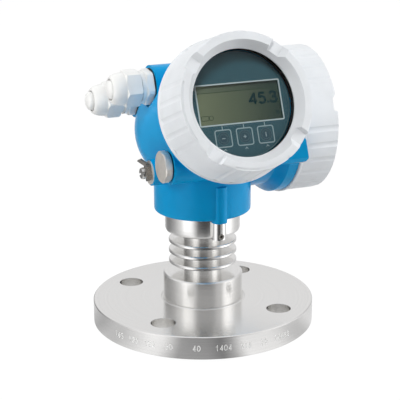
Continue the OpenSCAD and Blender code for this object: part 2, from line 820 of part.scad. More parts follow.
// Outer side of a cover from its rear rim to the inner edge of its ridge
function cover_side(r_rear, r_front, z_rear, z_front) = [
    [r_rear - 0.6, z_rear], [r_rear, z_rear + 0.6], [r_rear, z_rear + cover_bead_t - 0.6],
    [r_rear - bead_step, z_rear + cover_bead_t], [r_front, z_front - 1.2],
    [r_front - 0.35, z_front - 0.35], [r_front - 1.2, z_front], [r_front - ridge_w, z_front]];

module display_cover() {
    r = display_cover_d / 2;
    z0 = display_seat_a + gap;
    zf = display_front_a;
    rf = r - display_draft;
    tr = display_thread_d / 2 + gap;
    color(pale) on_display() difference() {
        rotate(notch_turn + seam_turn) rotate_extrude() polygon(concat([[tr, z0]], cover_side(r, rf, z0, zf),
            [[window_d / 2 + 1, window_a + 0.8], [window_d / 2, window_a - 0.2],
            [window_d / 2, window_a - window_lip], [retainer_d / 2, window_a - window_lip],
            [retainer_d / 2, z0 + display_thread_h + 1], [tr, z0 + display_thread_h + 1]]));
        cover_cuts(r, rf, z0, zf, notch_turn);
        translate([0, 0, z0 + cover_oring_off - cover_oring_r - 0.1])
            cylinder(r = tr + 2 * cover_oring_r + 0.1, h = 2 * cover_oring_r + 0.2);
    }
}

module window_glass() {
    color([0.75, 0.85, 0.88, 0.35]) on_display(glass_a - glass_t)
        cylinder(d = retainer_d - 0.4, h = glass_t);
}

module window_gasket() {
    color(black) on_display(glass_a) tube(retainer_d / 2 - 0.2, window_d / 2 + 0.4, gasket_t);
}

module window_retainer() {
    color(dark_steel) on_display(glass_a - glass_t - retainer_t) difference() {
        tube(retainer_d / 2 - fit, window_d / 2 + retainer_lip, retainer_t);
        for (i = [0:3]) rotate(i * 90) translate([0, -1.5, -1]) cube([60, 3, 2.2]);
    }
}

module display_cover_oring() {
    color(black) on_display()
        oring(display_thread_d / 2 + gap + cover_oring_r, cover_oring_r,
            display_seat_a + gap + cover_oring_off);
}

module terminal_cover() {
    r = term_cover_d / 2;
    z0 = term_seat_x + gap;
    zf = term_front_x;
    rf = r - term_draft;
    tr = term_thread_d / 2 + gap;
    face = zf - face_drop;
    color(pale) on_terminal() difference() {
        rotate(term_notch_turn + seam_turn) rotate_extrude() polygon(concat([[tr, z0]], cover_side(r, rf, z0, zf),
            [[rf - ridge_w - 6, face], [0, face], [0, face - 3],
            [tr - 4, face - 3], [tr - 3, face - 4], [tr - 3, z0 + term_thread_h + 1],
            [tr, z0 + term_thread_h + 1]]));
        cover_cuts(r, rf, z0, zf, term_notch_turn);
        translate([0, 0, z0 + cover_oring_off - cover_oring_r - 0.1])
            cylinder(r = tr + 2 * cover_oring_r + 0.1, h = 2 * cover_oring_r + 0.2);
    }
}

module terminal_cover_oring() {
    color(black) on_terminal()
        oring(term_thread_d / 2 + gap + cover_oring_r, cover_oring_r,
            term_seat_x + gap + cover_oring_off);
}

process_flange();
antenna_lens();
lens_seal();
neck();
waveguide();
coax_coupler();
swivel_oring();
swivel_clip();
collar();
securing_screw();
housing();
rf_module();
electronics_module();
display_module();
lcd_panel();
key_windows();
feedthrough();
terminal_block();
terminal_screws();
inner_earth_clamp();
inner_earth_screw();
front_gland() gland_gasket();  // gland_gasket_front
front_gland() gland_body();  // gland_body_front
front_gland() gland_seal();  // gland_seal_front
front_gland() gland_plug(front_plug_out);  // gland_plug_front
front_gland() gland_cap();  // gland_cap_front
rear_gland() gland_gasket();  // gland_gasket_rear
rear_gland() gland_body();  // gland_body_rear
rear_gland() gland_seal();  // gland_seal_rear
rear_gland() gland_plug(rear_plug_out + rear_cap_out);  // gland_plug_rear
rear_gland() translate([0, 0, rear_cap_out]) gland_cap();  // gland_cap_rear
blind_plug();
blind_plug_seal();
earth_plate();
earth_clamp();
earth_washer();
earth_screw();
lock_screw();
display_cover();
window_glass();
window_gasket();
window_retainer();
display_cover_oring();
terminal_cover();
terminal_cover_oring();
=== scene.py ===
"""Looks of the radar level transmitter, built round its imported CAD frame. All lengths in metres."""
import bmesh
import bpy
import json
import math
from mathutils import Matrix, Vector


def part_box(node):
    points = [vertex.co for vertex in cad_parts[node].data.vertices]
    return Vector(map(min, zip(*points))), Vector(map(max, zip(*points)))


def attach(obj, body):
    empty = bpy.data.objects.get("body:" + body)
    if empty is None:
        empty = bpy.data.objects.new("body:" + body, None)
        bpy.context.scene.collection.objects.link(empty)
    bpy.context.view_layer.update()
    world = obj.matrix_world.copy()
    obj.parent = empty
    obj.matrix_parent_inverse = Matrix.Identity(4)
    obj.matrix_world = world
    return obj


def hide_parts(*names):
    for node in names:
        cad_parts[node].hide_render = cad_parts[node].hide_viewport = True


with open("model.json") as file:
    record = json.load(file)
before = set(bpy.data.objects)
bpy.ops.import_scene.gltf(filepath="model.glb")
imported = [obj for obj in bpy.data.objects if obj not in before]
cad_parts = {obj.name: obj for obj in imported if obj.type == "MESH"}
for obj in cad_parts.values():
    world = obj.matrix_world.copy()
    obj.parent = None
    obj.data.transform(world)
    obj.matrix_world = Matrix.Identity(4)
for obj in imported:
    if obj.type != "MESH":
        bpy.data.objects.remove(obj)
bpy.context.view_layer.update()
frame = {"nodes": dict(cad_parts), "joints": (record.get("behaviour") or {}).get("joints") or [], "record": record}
NODES = frame["nodes"]
MM = 0.001


# ---- Frame of the display: x across, y up the face, z out along its axis ----
def display_frame():
    """Matrix of the display, whose z is the axis that its cover turns on."""
    joint = next(row for row in frame["joints"] if row["name"] == "display_cover_turn")
    z = Vector(joint["axis"]).normalized()
    x = Vector((1, 0, 0))
    turn = Matrix((x, z.cross(x), z)).transposed().to_4x4()
    return Matrix.Translation(Vector(joint["pos_m"])) @ turn


DISPLAY = display_frame()


def display_extent(node):
    """Lowest and highest corner of a CAD node in the display's frame."""
    turn = DISPLAY.inverted()
    points = [turn @ vertex.co for vertex in NODES[node].data.vertices]
    return [Vector(pick(point[i] for point in points) for i in range(3)) for pick in (min, max)]


FACE = display_extent("display_module")[1].z
LCD_LOW, LCD_HIGH = display_extent("lcd_panel")
KEYS_LOW, KEYS_HIGH = display_extent("key_windows")
KEY_D = KEYS_HIGH.y - KEYS_LOW.y
KEY_PITCH = (KEYS_HIGH.x - KEYS_LOW.x - KEY_D) / 2
KEY_X = (-KEY_PITCH, 0, KEY_PITCH)
KEY_Y = (KEYS_HIGH.y + KEYS_LOW.y) / 2


# ---- Flat lines, each a path with a width, open or closed ----
def stroke(path, width):
    """An open line."""
    return path, width, False


def loop(path, width):
    """A closed line."""
    return path, width, True


def rounded_box(cx, cy, width, height, radius):
    """Path round a rectangle with round corners."""
    steps = 5
    made = []
    for k, (sx, sy) in enumerate(((1, 1), (-1, 1), (-1, -1), (1, -1))):
        for i in range(steps + 1):
            turn = math.radians(90 * (k + i / steps))
            made.append((cx + sx * (width / 2 - radius) + radius * math.cos(turn),
                         cy + sy * (height / 2 - radius) + radius * math.sin(turn)))
    return made


def ring(cx, cy, radius, steps=48):
    """Path round a circle."""
    return [(cx + radius * math.cos(math.tau * i / steps),
             cy + radius * math.sin(math.tau * i / steps)) for i in range(steps)]


def curved(path):
    """A smooth path through the given points, as a Catmull-Rom spline."""
    steps = 4
    ends = [path[0]] + list(path) + [path[-1]]
    made = []
    for a, b, c, d in zip(ends, ends[1:], ends[2:], ends[3:]):
        for i in range(steps):
            t = i / steps
            made.append(tuple(0.5 * (2 * q + (r - p) * t + (2 * p - 5 * q + 4 * r - u) * t * t
                                     + (3 * q - p - 3 * r + u) * t ** 3)
                              for p, q, r, u in zip(a, b, c, d)))
    return made + [tuple(path[-1])]


def placed(path, x, y, width, height):
    """A path in a unit box, scaled and moved to x, y."""
    return [(x + width * u, y + height * v) for u, v in path]


# ---- Meshes ----
WELD_DISTANCE = 0.002 * MM


def ribbon(path, width, closed):
    """Left and right edge points of a line, with mitred bends that stay short at sharp turns."""
    least_miter = 0.45
    path = [Vector(point) for point in path]
    sides = []
    for i, here in enumerate(path):
        before = here - path[i - 1] if closed or i else None
        after = path[(i + 1) % len(path)] - here if closed or i + 1 < len(path) else None
        ways = [way.normalized() for way in (before, after) if way is not None]
        along = sum(ways, Vector((0, 0))).normalized()
        across = Vector((-along.y, along.x))
        miter = max(least_miter, abs(along.dot(ways[0])))
        sides.append((here + across * width / 2 / miter, here - across * width / 2 / miter))
    return sides


def strips(lines, low, high):
    """Points and faces of closed raised strips along the lines, from height low to high."""
    corners = 4
    points, faces = [], []
    for path, width, closed in lines:
        sides = ribbon(path, width, closed)
        start, count = len(points), len(sides)
        for left, right in sides:
            points += [(left.x, left.y, high), (right.x, right.y, high),
                       (right.x, right.y, low), (left.x, left.y, low)]
        for i in range(count if closed else count - 1):
            a, b = start + corners * i, start + corners * ((i + 1) % count)
            for k in range(corners):
                m = (k + 1) % corners
                faces.append((a + m, a + k, b + k, b + m))
        if not closed:
            end = start + corners * (count - 1)
            faces.append((start, start + 1, start + 2, start + 3))
            faces.append((end + 3, end + 2, end + 1, end))
    return points, faces


def add_object(name, data):
    """An object in the scene that shows this mesh, camera or light."""
    made = bpy.data.objects.new(name, data)
    bpy.context.scene.collection.objects.link(made)
    return made


def make_piece(name, points, faces, material, body):
    """A piece that rides on a body, from points in the shared frame."""
    mesh = bpy.data.meshes.new(name)
    mesh.from_pydata(points, [], faces)
    mesh.validate()
    mesh.materials.append(material)
    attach(add_object(name, mesh), body)


def display_print(name, lines, low, high, material):
    """Thin raised lines on the display, from height low to high along its axis."""
    points, faces = strips(lines, low, high)
    make_piece(name, [DISPLAY @ Vector(point) for point in points], faces, material, "housing")


def soften(piece, angle):
    """Smooth shading of a welded piece, with edges sharper than this angle in degrees kept."""
    mesh = piece.data
    mesh.polygons.foreach_set("use_smooth", [True] * len(mesh.polygons))
    if "custom_normal" in mesh.attributes:
        mesh.attributes.remove(mesh.attributes["custom_normal"])
    weld = piece.modifiers.new("weld", "WELD")
    weld.merge_threshold = WELD_DISTANCE
    split = piece.modifiers.new("edges", "EDGE_SPLIT")
    split.split_angle = math.radians(angle)


# ---- Node trees ----
def rgb(r, g, b):
    """Linear colour from the 8-bit sRGB values that a screen shows."""
    return tuple((c / 255 / 12.92) if c < 11 else ((c / 255 + 0.055) / 1.055) ** 2.4
                 for c in (r, g, b))


class Tree:
    """Short calls that build the node tree of a material or a world."""

    def __init__(self, owner):
        owner.use_nodes = True
        self.nodes = owner.node_tree.nodes
        self.links = owner.node_tree.links

    def node(self, kind, **settings):
        """A new node with these settings."""
        made = self.nodes.new(kind)
        for name, value in settings.items():
            setattr(made, name, value)
        return made

    def feed(self, target, value):
        """Links an output to an input, or writes a number or colour into it."""
        if isinstance(value, bpy.types.NodeSocket):
            self.links.new(value, target)
        else:
            target.default_value = value

    def split(self, vector):
        """Node that gives the X, Y and Z of a vector."""
        made = self.node("ShaderNodeSeparateXYZ")
        self.feed(made.inputs["Vector"], vector)
        return made

    def length(self, vector):
        """Length of a vector."""
        made = self.node("ShaderNodeVectorMath", operation="LENGTH")
        self.feed(made.inputs[0], vector)
        return made.outputs["Value"]

    def calculate(self, operation, first, second):
        """Result of a math node."""
        made = self.node("ShaderNodeMath", operation=operation)
        self.feed(made.inputs[0], first)
        self.feed(made.inputs[1], second)
        return made.outputs["Value"]

    def spread(self, source, low, high, to_low=0, to_high=1):
        """The source, mapped from low and high to to_low and to_high and held there."""
        made = self.node("ShaderNodeMapRange")
        for name, value in (("Value", source), ("From Min", low), ("From Max", high),
                            ("To Min", to_low), ("To Max", to_high)):
            self.feed(made.inputs[name], value)
        return made.outputs["Result"]

    def mix_color(self, factor, a, b):
        """Colour that goes from a to b with the factor."""
        made = self.node("ShaderNodeMix", data_type="RGBA")
        for name, value in (("Factor", factor), ("A", a), ("B", b)):
            self.feed(made.inputs[name], value)
        return made.outputs["Result"]

    def mix_shader(self, factor, first, second):
        """Shader that goes from the first to the second with the factor."""
        made = self.node("ShaderNodeMixShader")
        for socket, value in zip(made.inputs, (factor, first, second)):
            self.feed(socket, value)
        return made.outputs["Shader"]


# Nearly all of a noise lies between these values
NOISE_LOW, NOISE_HIGH = 0.3, 0.7


class Finish(Tree):
    """A Principled material and short calls for its surface."""

    def __init__(self, name, color, roughness, metallic=0.0, specular=0.5):
        self.mat = bpy.data.materials.new(name)
        super().__init__(self.mat)
        self.inputs = self.nodes["Principled BSDF"].inputs
        self.inputs["Base Color"].default_value = (*color, 1)
        self.inputs["Roughness"].default_value = roughness
        self.inputs["Metallic"].default_value = metallic
        self.inputs["Specular IOR Level"].default_value = specular
        self.color = color
        self.coord = self.node("ShaderNodeTexCoord").outputs["Object"]
        self.normal = None

    def noise(self, per_metre, detail):
        """Noise over the object, with this many features per metre."""
        made = self.node("ShaderNodeTexNoise")
        made.inputs["Scale"].default_value = per_metre
        made.inputs["Detail"].default_value = detail
        self.feed(made.inputs["Vector"], self.coord)
        return made.outputs["Fac"]

    def tint(self, source, low, high):
        """Base colour that runs from low to high times the written one with the source."""
        ramp = self.node("ShaderNodeValToRGB")
        ends = ((NOISE_LOW, low), (NOISE_HIGH, high))
        for element, (spot, share) in zip(ramp.color_ramp.elements, ends):
            element.position = spot
            element.color = (*[c * share for c in self.color], 1)
        self.feed(ramp.inputs["Fac"], source)
        self.feed(self.inputs["Base Color"], ramp.outputs["Color"])

    def gloss(self, source, low, high):
        """Roughness that runs from low to high with the source."""
        self.feed(self.inputs["Roughness"], self.spread(source, NOISE_LOW, NOISE_HIGH, low, high))

    def round_edges(self, radius):
        """Edges that catch the light as if rounded to this radius."""
        made = self.node("ShaderNodeBevel", samples=6)
        made.inputs["Radius"].default_value = radius
        self.normal = made.outputs["Normal"]
        self.feed(self.inputs["Normal"], self.normal)

    def bump(self, source, height, strength):
        """Fine relief on top of the rounded edges."""
        made = self.node("ShaderNodeBump")
        made.inputs["Strength"].default_value = strength
        made.inputs["Distance"].default_value = height
        self.feed(made.inputs["Height"], source)
        self.feed(made.inputs["Normal"], self.normal)
        self.feed(self.inputs["Normal"], made.outputs["Normal"])


# ---- Kinds of surface ----
def powder_coat(name, color, roughness, specular, edge):
    """Powder coat on a casting: fine orange peel and a slight change of gloss."""
    made = Finish(name, color, roughness, specular=specular)
    made.round_edges(edge)
    made.tint(made.noise(60, detail=3), low=0.97, high=1.03)
    made.gloss(made.noise(600, detail=2), low=roughness - 0.02, high=roughness + 0.03)
    made.bump(made.noise(1100, detail=0), height=0.01 * MM, strength=0.3)
    return made.mat


def lathe_coordinates(made):
    """Distance from the upright axis as X and height as Z, so that noise makes rings."""
    parts = made.split(made.coord)
    flat = made.node("ShaderNodeCombineXYZ")
    made.feed(flat.inputs["X"], parts.outputs["X"])
    made.feed(flat.inputs["Y"], parts.outputs["Y"])
    lathe = made.node("ShaderNodeCombineXYZ")
    made.feed(lathe.inputs["X"], made.length(flat.outputs["Vector"]))
    made.feed(lathe.inputs["Z"], parts.outputs["Z"])
    return lathe.outputs["Vector"]


def turned_steel(name, color, roughness):
    """Steel turned round the upright axis: fine rings on its walls and on its faces."""
    made = Finish(name, color, roughness, metallic=1.0)
    made.round_edges(0.25 * MM)
    made.coord = lathe_coordinates(made)
    rings = made.noise(2600, detail=3)
    made.tint(made.noise(700, detail=3), low=0.97, high=1.03)
    made.gloss(rings, low=roughness - 0.05, high=roughness + 0.06)
    made.bump(rings, height=0.004 * MM, strength=0.5)
    made.inputs["Anisotropic"].default_value = 0.7
    made.inputs["Anisotropic Rotation"].default_value = 0.25
    tangent = made.node("ShaderNodeTangent", direction_type="RADIAL", axis="Z")
    made.feed(made.inputs["Tangent"], tangent.outputs["Tangent"])
    return made.mat


def plain_metal(name, color, roughness):
    """Machined small parts with a fine irregular grain."""
    made = Finish(name, color, roughness, metallic=1.0)
    made.round_edges(0.2 * MM)
    made.tint(made.noise(300, detail=3), low=0.9, high=1.08)
    made.gloss(made.noise(500, detail=3), low=roughness - 0.07, high=roughness + 0.09)
    made.bump(made.noise(1600, detail=2), height=0.005 * MM, strength=0.4)
    return made.mat


def plated(name, color, roughness):
    """Dull plated metal that also scatters light."""
    made = Finish(name, color, roughness, metallic=0.5)
    made.round_edges(0.2 * MM)
    made.tint(made.noise(250, detail=3), low=0.95, high=1.04)
    made.gloss(made.noise(400, detail=3), low=roughness - 0.06, high=roughness + 0.08)
    made.bump(made.noise(1200, detail=2), height=0.005 * MM, strength=0.4)
    return made.mat


def moulded(name, color, roughness, grain=1500, specular=0.5):
    """Moulded plastic or rubber, with this many grains per metre."""
    made = Finish(name, color, roughness, specular=specular)
    made.round_edges(0.35 * MM)
    made.tint(made.noise(120, detail=3), low=0.96, high=1.03)
    made.gloss(made.noise(400, detail=2), low=roughness - 0.05, high=roughness + 0.07)
    made.bump(made.noise(grain, detail=2), height=0.02 * MM, strength=0.35)
    return made.mat


def printed(name, color, roughness=0.5):
    """Thin print or display segments: an even colour with a faint mottle."""
    made = Finish(name, color, roughness, specular=0.2)
    made.tint(made.noise(900, detail=2), low=0.96, high=1.04)
    made.gloss(made.noise(500, detail=2), low=roughness - 0.06, high=roughness + 0.08)
    return made.mat


def lcd_painted_shade(name, left, right, reach):
    """Display background with painted shade: its colour fades from the lighter left colour to the darker right
    one, over twice the reach.
    """
    made = Finish(name, left, roughness=0.4, specular=0.3)
    across = made.split(made.coord).outputs["X"]
    fade = made.mix_color(made.spread(across, -reach, reach), (*left, 1), (*right, 1))
    made.feed(made.inputs["Base Color"], fade)
    made.gloss(made.noise(400, detail=1), low=0.38, high=0.44)
    return made.mat


def clear_glass(name):
    """Clear pane: what is behind it shows, with the mirror of a glass surface over it."""
    mat = bpy.data.materials.new(name)
    tree = Tree(mat)
    tree.nodes.clear()
    clear = tree.node("ShaderNodeBsdfTransparent")
    clear.inputs["Color"].default_value = (0.97, 0.985, 0.985, 1)
    mirror = tree.node("ShaderNodeBsdfGlossy")
    mirror.inputs["Roughness"].default_value = 0.03
    fresnel = tree.node("ShaderNodeFresnel")
    fresnel.inputs["IOR"].default_value = 1.25
    pane = tree.mix_shader(fresnel.outputs["Fac"], clear.outputs["BSDF"], mirror.outputs["BSDF"])
    tree.feed(tree.node("ShaderNodeOutputMaterial").inputs["Surface"], pane)
    return mat


# ---- Materials, each under the record's slot or the look that a piece asks for ----
def metals():
    """Steel and plated parts."""
    return {
        "steel": plain_metal("plain_steel", rgb(214, 213, 210), roughness=0.3),
        "turned_steel": turned_steel("turned_steel", rgb(236, 235, 233), roughness=0.2),
        "dark_steel": plain_metal("dark_steel", rgb(150, 146, 140), roughness=0.28),
        "plated": plated("plated_metal", rgb(222, 217, 210), roughness=0.34),
        "stamped": printed("stamped", rgb(236, 236, 234)),
    }


def paints():
    """The blue of the casting and the pale covers."""
    return {
        "blue_paint": powder_coat("blue_paint", rgb(0, 154, 212), roughness=0.2, specular=0.14,
                                  edge=0.5 * MM),
        "pale_paint": powder_coat("pale_paint", rgb(226, 229, 232), roughness=0.36, specular=0.5,
                                  edge=0.12 * MM),
    }


def plastics():
    """Plastic, rubber and the window."""
    return {
        "white_plastic": moulded("white_plastic", rgb(240, 240, 238), roughness=0.36),
        "grey_plastic": moulded("grey_plastic", rgb(160, 162, 165), roughness=0.45),
        "black_plastic": moulded("black_plastic", rgb(24, 24, 26), roughness=0.45),
        "green_plastic": moulded("green_plastic", rgb(38, 96, 68), roughness=0.45),
        # Nearly black for the window's retainer: a dark part, with painted shade for the gap round the display.
        "retainer_black_and_shade": moulded("retainer_black_and_shade", rgb(30, 32, 35), roughness=0.5),
        "rubber": moulded("rubber", rgb(28, 28, 30), roughness=0.6),
        "grey_rubber": moulded("grey_rubber", rgb(112, 116, 120), roughness=0.6),
        "ptfe": moulded("ptfe", rgb(236, 236, 232), roughness=0.4),
        "window": clear_glass("window_glass"),
    }


def display_looks():
    """The display's face, its keys and prints, and what its panel shows."""
    return {
        "slate_plastic": moulded("slate_plastic", rgb(58, 97, 108), roughness=0.4, grain=3000,
                                 specular=0.3),
        "key_lens": moulded("key_lens", rgb(50, 82, 94), roughness=0.35, grain=3000,
                            specular=0.4),
        "face_print": printed("face_print", rgb(176, 196, 200)),
        "face_frame": printed("face_frame", rgb(214, 226, 228), roughness=0.35),
        "face_dim": printed("face_dim", rgb(96, 124, 132), roughness=0.4),
        # The panel and its header band carry painted shade, lighter at the left and darker at the right.
        "lcd": lcd_painted_shade("lcd_base", left=rgb(126, 134, 106), right=rgb(48, 68, 58), reach=26 * MM),
        "lcd_band": lcd_painted_shade("lcd_band", left=rgb(110, 120, 98), right=rgb(48, 66, 58),
                             reach=25 * MM),
        "lcd_dark": printed("lcd_dark", rgb(2, 50, 54)),
        "lcd_faint": printed("lcd_faint", rgb(52, 72, 54), roughness=0.3),
    }


# ---- CAD nodes ----
# Nodes whose look isn't the one of their slot
LOOK_OF = {"window_retainer": "retainer_black_and_shade", "process_flange": "turned_steel",
           "neck": "turned_steel", "collar": "turned_steel", "blind_plug": "plated",
           "earth_plate": "plated", "earth_clamp": "dark_steel", "earth_washer": "plated"}

# Nodes whose shallow facets and grip steps stay crisp, and the edge angles kept sharp, in degrees
CRISP = ("display_cover", "terminal_cover", "blind_plug")
CRISP_ANGLE = 12
SOFT_ANGLE = 28


def dress_nodes(materials):
    """Gives every CAD node its material and smooth shading."""
    slot_of = {row["node"]: row["material_slot"] for row in frame["record"]["subparts"]}
    for name, node in NODES.items():
        node.data.materials.clear()
        node.data.materials.append(materials[LOOK_OF.get(name, slot_of[name])])
        soften(node, CRISP_ANGLE if name in CRISP else SOFT_ANGLE)


# ---- Figures as paths in a unit box ----
FIGURES = {
    "0": [curved([(0.5, 0.03), (0.12, 0.2), (0.04, 0.5), (0.12, 0.8), (0.5, 0.97), (0.88, 0.8),
                  (0.96, 0.5), (0.88, 0.2), (0.5, 0.03)])],
    "1": [[(0.2, 0.75), (0.55, 0.97), (0.55, 0)]],
    "2": [curved([(0.08, 0.74), (0.24, 0.93), (0.6, 0.95), (0.86, 0.76), (0.74, 0.5),
                  (0.08, 0.05)]),
          [(0.05, 0.05), (0.95, 0.05)]],
    "3": [curved([(0.05, 0.78), (0.2, 0.9), (0.48, 0.94), (0.76, 0.87), (0.84, 0.71),
                  (0.7, 0.57), (0.36, 0.53)]),
          curved([(0.36, 0.53), (0.74, 0.48), (0.92, 0.3), (0.78, 0.12), (0.48, 0.06),
                  (0.2, 0.1), (0.03, 0.23)])],
    "4": [[(0.74, 0), (0.74, 1)],
          [(0.74, 0.93), (0.13, 0.3)],
          [(0, 0.28), (1, 0.28)]],
    "5": [[(0.92, 0.91), (0.12, 0.91)],
          [(0.21, 0.95), (0.14, 0.5)],
          curved([(0.16, 0.53), (0.3, 0.6), (0.58, 0.61), (0.84, 0.5), (0.92, 0.31),
                  (0.8, 0.13), (0.52, 0.06), (0.26, 0.09), (0.08, 0.19)])],
    "6": [curved([(0.8, 0.95), (0.36, 0.78), (0.06, 0.34), (0.28, 0.06), (0.66, 0.05),
                  (0.92, 0.3), (0.66, 0.56), (0.3, 0.52), (0.08, 0.34)])],
    ".": [[(0, 0.1), (1, 0.1)]],
}


# ---- Prints on the display's face, placed from the keys or from the display's axis ----
PRINT_T = 0.06 * MM
PRINT_TOP = FACE + PRINT_T


def print_lcd_frame(material):
    """Pale line round the panel."""
    growth, corner, line, height = 0.5 * MM, 0.7 * MM, 0.9 * MM, 0.25 * MM
    x, y = (LCD_LOW.x + LCD_HIGH.x) / 2, (LCD_LOW.y + LCD_HIGH.y) / 2
    width, tall = LCD_HIGH.x - LCD_LOW.x + growth, LCD_HIGH.y - LCD_LOW.y + growth
    outline = loop(rounded_box(x, y, width, tall, corner), line)
    display_print("lcd_frame", [outline], FACE, FACE + height, material)


def print_key_frames(material):
    """A square round each key, with a stem above it."""
    side, corner, line = 11.5 * MM, 1.5 * MM, 0.75 * MM
    stem_low, stem_high, stem_line = KEY_Y + 5.9 * MM, KEY_Y + 8.4 * MM, 0.6 * MM
    squares = [loop(rounded_box(x, KEY_Y, side, side, corner), line) for x in KEY_X]
    stems = [stroke([(x, stem_low), (x, stem_high)], stem_line) for x in KEY_X]
    display_print("key_frames", squares + stems, FACE, PRINT_TOP, material)


def print_face_rings(material):
    """Two rings in each key, a ring round the face and a broken line that joins the stems."""
    outer, inner, key_line = 4.35 * MM, 3.0 * MM, 0.3 * MM
    lines = [loop(ring(x, KEY_Y, radius), key_line) for x in KEY_X for radius in (outer, inner)]
    face_radius, face_line, face_steps = 36.2 * MM, 0.5 * MM, 96
    lines.append(loop(ring(0, 0, face_radius, face_steps), face_line))
    link_x, link_y, link_line = KEY_X[0], KEY_Y + 7.9 * MM, 0.4 * MM
    for start, end in ((1.4, 4.6), (5.6, 7.4), (7.9, 9.7), (11.0, 14.0)):
        dash = [(link_x + start * MM, link_y), (link_x + end * MM, link_y)]
        lines.append(stroke(dash, link_line))
    display_print("face_rings", lines, FACE, PRINT_TOP, material)


def print_key_marks(material):
    """Minus, plus and bar on the keys, and an arrow below each."""
    minus_x, plus_x, bar_x = KEY_X
    arm, line = 1.15 * MM, 0.55 * MM
    bar_arm, bar_line = 1.6 * MM, 0.6 * MM
    marks = [stroke([(minus_x - arm, KEY_Y), (minus_x + arm, KEY_Y)], line),
             stroke([(plus_x - arm, KEY_Y), (plus_x + arm, KEY_Y)], line),
             stroke([(plus_x, KEY_Y - arm), (plus_x, KEY_Y + arm)], line),
             stroke([(bar_x, KEY_Y - bar_arm), (bar_x, KEY_Y + bar_arm)], bar_line)]
    arrow_y, arrow_w, arrow_h, arrow_line = KEY_Y - 8.4 * MM, 1.0 * MM, 1.1 * MM, 0.45 * MM
    for x in KEY_X:
        arrow = [(x - arrow_w, arrow_y), (x, arrow_y + arrow_h), (x + arrow_w, arrow_y)]
        marks.append(stroke(arrow, arrow_line))
    display_print("key_marks", marks, FACE, PRINT_TOP, material)


# ---- What the panel shows: a band on its face, figures and marks a layer above ----
LCD_FACE = LCD_HIGH.z
LCD_LAYER = LCD_FACE + 0.02 * MM
FIGURE_TOP, MARK_TOP = LCD_FACE + 0.06 * MM, LCD_FACE + 0.05 * MM
BAND_LEFT, BAND_RIGHT = LCD_LOW.x + 1.0 * MM, LCD_HIGH.x - 0.4 * MM
BAND_TOP, BAND_LOW = LCD_HIGH.y - 0.9 * MM, LCD_HIGH.y - 4.9 * MM


def percent_sign():
    """Small percent sign in the corner of the panel."""
    x, y, side, line = 26.4 * MM, -8.6 * MM, 2.4 * MM, 0.5 * MM
    dot_radius, dot_line, dot_steps = 0.42 * MM, 0.4 * MM, 12
    slash = stroke(placed([(0.1, 0), (0.9, 1)], x, y, side, side), line)
    near, far = 0.5 * MM, 1.9 * MM
    dots = [loop(ring(x + across, y + up, dot_radius, dot_steps), dot_line)
            for across, up in ((near, far), (far, near))]
    return [slash] + dots


def show_number(material):
    """The level that the panel shows, with its percent sign."""
    height, y, line = 8.0 * MM, -0.5 * MM, 1.65 * MM
    lines = []
    for figure, x, width in (("4", 7.3 * MM, 6.2 * MM), ("5", 14.6 * MM, 5.4 * MM),
                             (".", 20.9 * MM, 1.4 * MM), ("3", 23.2 * MM, 5.3 * MM)):
        lines += [stroke(placed(path, x, y, width, height), line) for path in FIGURES[figure]]
    display_print("lcd_number", lines + percent_sign(), LCD_LAYER, FIGURE_TOP, material)


def show_band(material):
    """Darker header band along the top of the panel."""
    y = (BAND_TOP + BAND_LOW) / 2
    band = stroke([(BAND_LEFT, y), (BAND_RIGHT, y)], BAND_TOP - BAND_LOW)
    display_print("lcd_band", [band], LCD_FACE, LCD_LAYER, material)


def show_marks(material):
    """Line below the header band, and a small box and ring in the lower corner."""
    line, y = 0.35 * MM, -7.2 * MM
    box_x, box_w, box_h, box_corner = -26.1 * MM, 5.2 * MM, 3.0 * MM, 0.4 * MM
    ring_x, ring_radius, ring_steps = -21.6 * MM, 1.5 * MM, 32
    marks = [stroke([(BAND_LEFT, BAND_LOW), (BAND_RIGHT, BAND_LOW)], line),
             loop(rounded_box(box_x, y, box_w, box_h, box_corner), line),
             loop(ring(ring_x, y, ring_radius, ring_steps), line)]
    display_print("lcd_marks", marks, LCD_LAYER, MARK_TOP, material)


# ---- Process connection ----
# Where each number starts along the rim, in mm from the middle of the front
RIM_NUMBERS = ((-72, "165"), (-58, "125"), (-44, "102"), (-28, "50"), (-8, "40"), (8, "1404"),
               (26, "316"), (42, "20"), (54, "16052"))
RIM_FRONT = math.radians(-112)


def stamp_rim(material):
    """Plain numbers stamped round the front of the flange's rim."""
    low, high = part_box("process_flange")
    radius = (high.x - low.x) / 2
    width, height, gap, line, relief = 2.1 * MM, 4.2 * MM, 1.0 * MM, 0.6 * MM, 0.04 * MM
    y = (low.z + high.z) / 2 - height / 2
    lines = []
    for start, number in RIM_NUMBERS:
        for i, figure in enumerate(number):
            x = start * MM + i * (width + gap)
            lines += [stroke(placed(path, x, y, width, height), line) for path in FIGURES[figure]]
    points, faces = strips(lines, 0, relief)
    wrapped = [((radius + out) * math.cos(RIM_FRONT + along / radius),
                (radius + out) * math.sin(RIM_FRONT + along / radius), up)
               for along, up, out in points]
    make_piece("rim_numbers", wrapped, faces, material, "process_connection")


def recalculate_normals(mesh):
    """Turns all faces of a closed mesh outward."""
    work = bmesh.new()
    work.from_mesh(mesh)
    bmesh.ops.recalc_face_normals(work, faces=work.faces)
    work.to_mesh(mesh)
    work.free()


